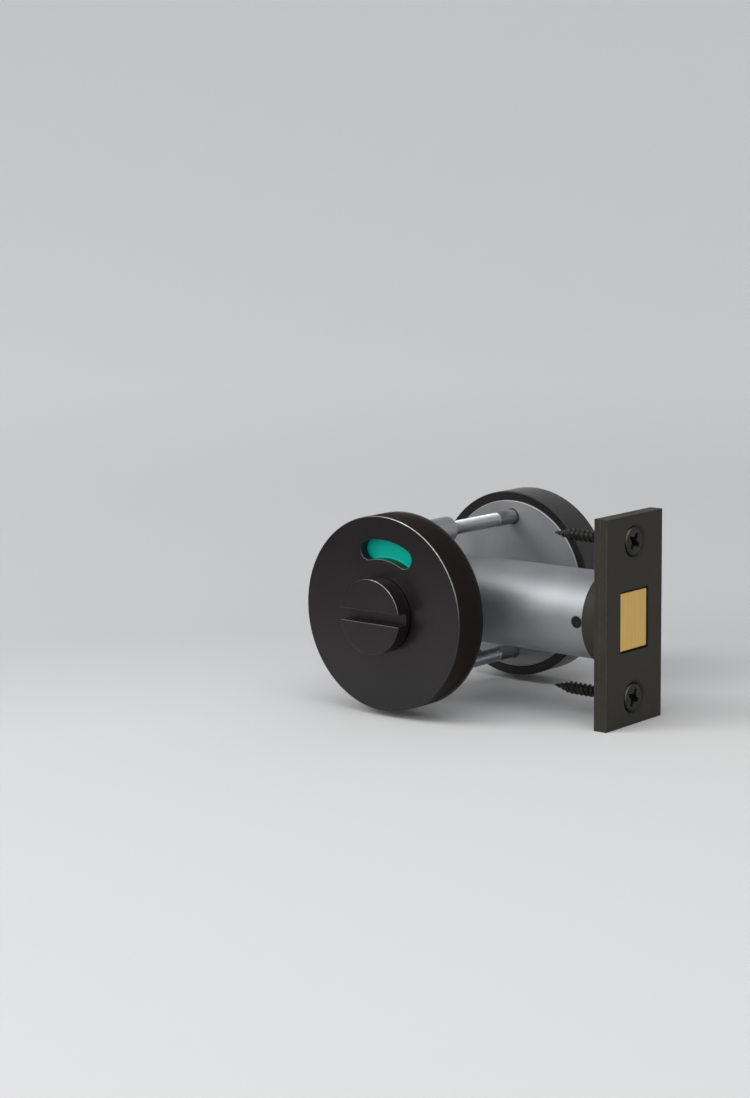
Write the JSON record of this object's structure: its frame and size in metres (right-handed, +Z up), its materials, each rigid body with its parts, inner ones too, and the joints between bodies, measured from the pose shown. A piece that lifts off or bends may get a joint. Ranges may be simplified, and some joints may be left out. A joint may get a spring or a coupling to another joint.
{
  "type": "toilet indicator bolt",
  "caption": "Privacy set for a toilet door: black rose with vacant window and coin release, turn snib, square spindle, and a tubular case that throws a brass bolt.",
  "frame": {"origin": "on the spindle axis, at the outside face of the door, where the outside base plate seats", "axes": "+X towards the closing edge of the door, the way the bolt is thrown; +Y into the door, from outside to inside; +Z up"},
  "size_m": [0.083, 0.0909, 0.055],
  "materials": {
    "satin_black": "satin black coating",
    "dark_bronze": "matt dark bronze-grey",
    "black_steel": "blackened steel",
    "brass": "brushed brass",
    "bearing_bronze": "sintered bronze",
    "zinc_plate": "bright zinc plate",
    "bright_steel": "plain steel",
    "vacant_green": "satin teal green",
    "occupied_red": "satin red",
    "black_nylon": "moulded nylon"
  },
  "bodies": {
    "fixed_set": {"indicator_rose": "satin_black", "outer_bush": "bearing_bronze", "outer_base_plate": "zinc_plate", "clamp_posts": "bright_steel", "rose_grub_screws": "black_steel", "inside_rose": "satin_black", "inner_bush": "bearing_bronze", "inner_base_plate": "zinc_plate", "through_bolts": "bright_steel", "faceplate": "dark_bronze", "forend": "dark_bronze", "faceplate_screws": "black_steel", "case_half_outer": "zinc_plate", "case_half_inner": "zinc_plate", "case_end_plug": "black_nylon", "case_rivet": "bright_steel", "bolt_guide": "black_nylon", "detent_spring": "bright_steel"},
    "turning_set": {"coin_release": "satin_black", "indicator_disc": "zinc_plate", "vacant_segment": "vacant_green", "occupied_segment": "occupied_red", "outer_spring_washer": "bright_steel", "outer_clip": "black_steel", "spindle": "bright_steel", "spindle_pin": "black_steel", "turn_snib": "satin_black", "inner_spring_washer": "bright_steel", "inner_clip": "black_steel", "follower": "zinc_plate"},
    "bolt_set": {"deadbolt": "brass", "bolt_tail": "bright_steel", "tail_rivets": "bright_steel"}
  },
  "joints": [
    {"name": "turn", "type": "hinge", "parent": "fixed_set", "child": "turning_set", "pos_m": [0, 0, 0], "axis": [0, 1, 0], "range_deg": [0, 90], "deforming": ["detent_spring"]},
    {"name": "bolt_throw", "type": "slide", "parent": "fixed_set", "child": "bolt_set", "axis": [1, 0, 0], "range_m": [0, 0.0116]}
  ],
  "couplings": [
    {"joint": "bolt_throw", "follows": "turn", "m_per_rad": 0.00738}
  ]
}
